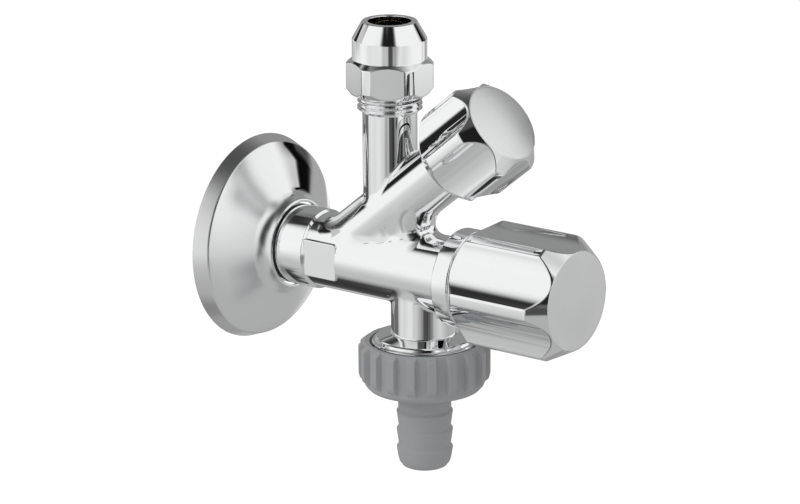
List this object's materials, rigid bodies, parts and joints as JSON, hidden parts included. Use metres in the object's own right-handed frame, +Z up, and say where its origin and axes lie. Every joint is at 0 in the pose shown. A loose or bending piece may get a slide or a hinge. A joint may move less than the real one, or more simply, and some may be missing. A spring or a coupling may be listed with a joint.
{
  "type": "combination angle valve",
  "caption": "Wall-mounted chrome angle valve with a main knob for a lower hose outlet and an oblique branch knob for an upper pipe outlet.",
  "frame": {"origin": "on the axis of the main barrel, in the plane of the finished wall, at the root of the inlet thread", "axes": "+X out of the wall along the main barrel, +Z up towards the pipe outlet, every axis of the valve in the plane Y = 0"},
  "size_m": [0.1134, 0.054, 0.116],
  "materials": {
    "chrome_plate": "polished",
    "satin_plate": "satin",
    "bare_brass": "machined",
    "grey_plastic": "moulded",
    "black_rubber": "matt",
    "steel": "plain",
    "white_plastic": "moulded"
  },
  "bodies": {
    "valve": {"valve_body": "chrome_plate", "inlet_seal_ring": "white_plastic", "main_bonnet": "bare_brass", "main_bonnet_seal": "black_rubber", "main_trim_ring": "chrome_plate", "small_bonnet": "bare_brass", "small_bonnet_seal": "black_rubber", "check_cage": "white_plastic"},
    "escutcheon_plate": {"escutcheon": "chrome_plate"},
    "main_handle": {"main_knob": "chrome_plate", "main_knob_screw": "steel", "main_knob_cap": "satin_plate", "main_spindle": "bare_brass", "main_inner_oring": "black_rubber", "main_outer_oring": "black_rubber"},
    "main_piston": {"main_plunger": "bare_brass", "main_seat_washer": "black_rubber", "main_washer_screw": "bare_brass"},
    "small_handle": {"small_knob": "chrome_plate", "small_knob_screw": "steel", "small_knob_cap": "satin_plate", "small_spindle": "bare_brass", "small_inner_oring": "black_rubber", "small_outer_oring": "black_rubber"},
    "small_piston": {"small_plunger": "bare_brass", "small_seat_washer": "black_rubber", "small_washer_screw": "bare_brass"},
    "hose_tail": {"hose_nozzle": "grey_plastic", "hose_gasket": "black_rubber"},
    "hose_nut": {"union_nut": "grey_plastic"},
    "olive": {"compression_olive": "bare_brass"},
    "pipe_nut": {"compression_nut": "chrome_plate"},
    "poppet": {"check_poppet": "white_plastic", "check_spring": "steel"}
  },
  "joints": [
    {"name": "escutcheon_slide", "type": "slide", "parent": "valve", "child": "escutcheon_plate", "axis": [1, 0, 0], "range_m": [0, 0.006]},
    {"name": "main_knob_turn", "type": "hinge", "parent": "valve", "child": "main_handle", "pos_m": [0.08, 0, 0], "axis": [1, 0, 0], "range_deg": [0, 900]},
    {"name": "main_piston_slide", "type": "slide", "parent": "valve", "child": "main_piston", "axis": [1, 0, 0], "range_m": [0, 0.005]},
    {"name": "small_knob_turn", "type": "hinge", "parent": "valve", "child": "small_handle", "pos_m": [0.027, 0, 0], "axis": [0.7727, 0, 0.6347], "range_deg": [0, 720]},
    {"name": "small_piston_slide", "type": "slide", "parent": "valve", "child": "small_piston", "axis": [0.7727, 0, 0.6347], "range_m": [0, 0.004]},
    {"name": "hose_tail_slide", "type": "slide", "parent": "valve", "child": "hose_tail", "axis": [0, 0, -1], "range_m": [0, 0.00726]},
    {"name": "hose_nut_turn", "type": "hinge", "parent": "hose_tail", "child": "hose_nut", "pos_m": [0.0542, 0, 0], "axis": [0, 0, -1], "range_deg": [0, 1440]},
    {"name": "olive_slide", "type": "slide", "parent": "valve", "child": "olive", "axis": [0, 0, 1], "range_m": [0, 0.00535]},
    {"name": "pipe_nut_turn", "type": "hinge", "parent": "olive", "child": "pipe_nut", "pos_m": [0.0436, 0, 0], "axis": [0, 0, 1], "range_deg": [0, 1440]},
    {"name": "poppet_slide", "type": "slide", "parent": "valve", "child": "poppet", "axis": [0, 0, -1], "range_m": [0, 0.002], "stiffness_N_per_m": 200, "springref_m": -0.0005, "deforming": ["check_spring"]}
  ],
  "couplings": [
    {"joint": "main_piston_slide", "follows": "main_knob_turn", "m_per_rad": 0.0003183},
    {"joint": "small_piston_slide", "follows": "small_knob_turn", "m_per_rad": 0.0003183},
    {"joint": "hose_tail_slide", "follows": "hose_nut_turn", "m_per_rad": 0.00028871},
    {"joint": "olive_slide", "follows": "pipe_nut_turn", "m_per_rad": 0.00021279}
  ]
}
